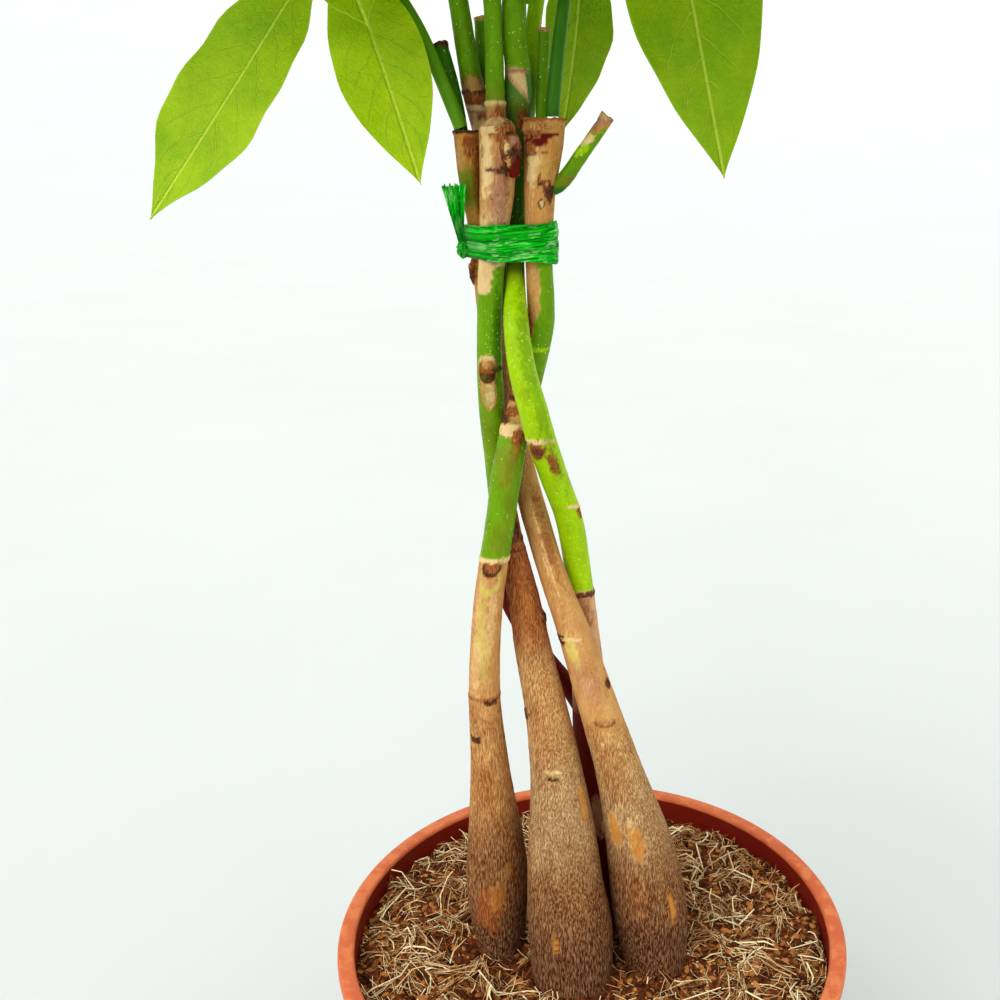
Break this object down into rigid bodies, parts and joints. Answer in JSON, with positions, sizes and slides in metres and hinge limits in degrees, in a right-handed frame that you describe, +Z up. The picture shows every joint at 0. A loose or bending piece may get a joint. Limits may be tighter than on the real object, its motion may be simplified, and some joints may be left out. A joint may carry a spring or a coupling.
{
  "type": "potted money tree",
  "caption": "Potted money tree: braided trunk of slender stems in a round nursery pot of soil, tied with a ribbon under the cut tops, with a crown of palmate leaves on long stalks.",
  "frame": {"origin": "the middle of the pot's flat underside", "axes": "+Z up, out of the pot; the front, seen in the picture, faces -Y; +X to the right"},
  "size_m": [0.3747, 0.333, 0.6144],
  "materials": {
    "pot": "terracotta-coloured plastic with a soft sheen",
    "soil": "loose coir with straw-coloured fibres",
    "bark": "thin tan and brown bark with green patches and leaf scars",
    "green_bark": "smooth green bark, satin",
    "leaf": "fresh yellow-green leaf, satin",
    "ribbon": "shiny crinkled plastic ribbon"
  },
  "bodies": {
    "root": {"pot": "pot", "soil": "soil", "stem_a": "bark", "stem_b": "bark", "stem_c": "bark", "stem_d": "green_bark", "stem_e": "bark", "leaf_a_1": "leaf", "leaf_b_1": "leaf", "leaf_b_2": "leaf", "leaf_c_1": "leaf", "leaf_d_1": "leaf", "leaf_d_2": "leaf", "leaf_d_3": "leaf", "leaf_d_4": "leaf", "leaf_d_5": "leaf", "leaf_d_6": "leaf", "leaf_d_7": "leaf", "leaf_d_8": "leaf", "leaf_e_1": "leaf", "leaf_e_2": "leaf", "leaf_e_3": "leaf", "tie": "ribbon"}
  },
  "joints": []
}
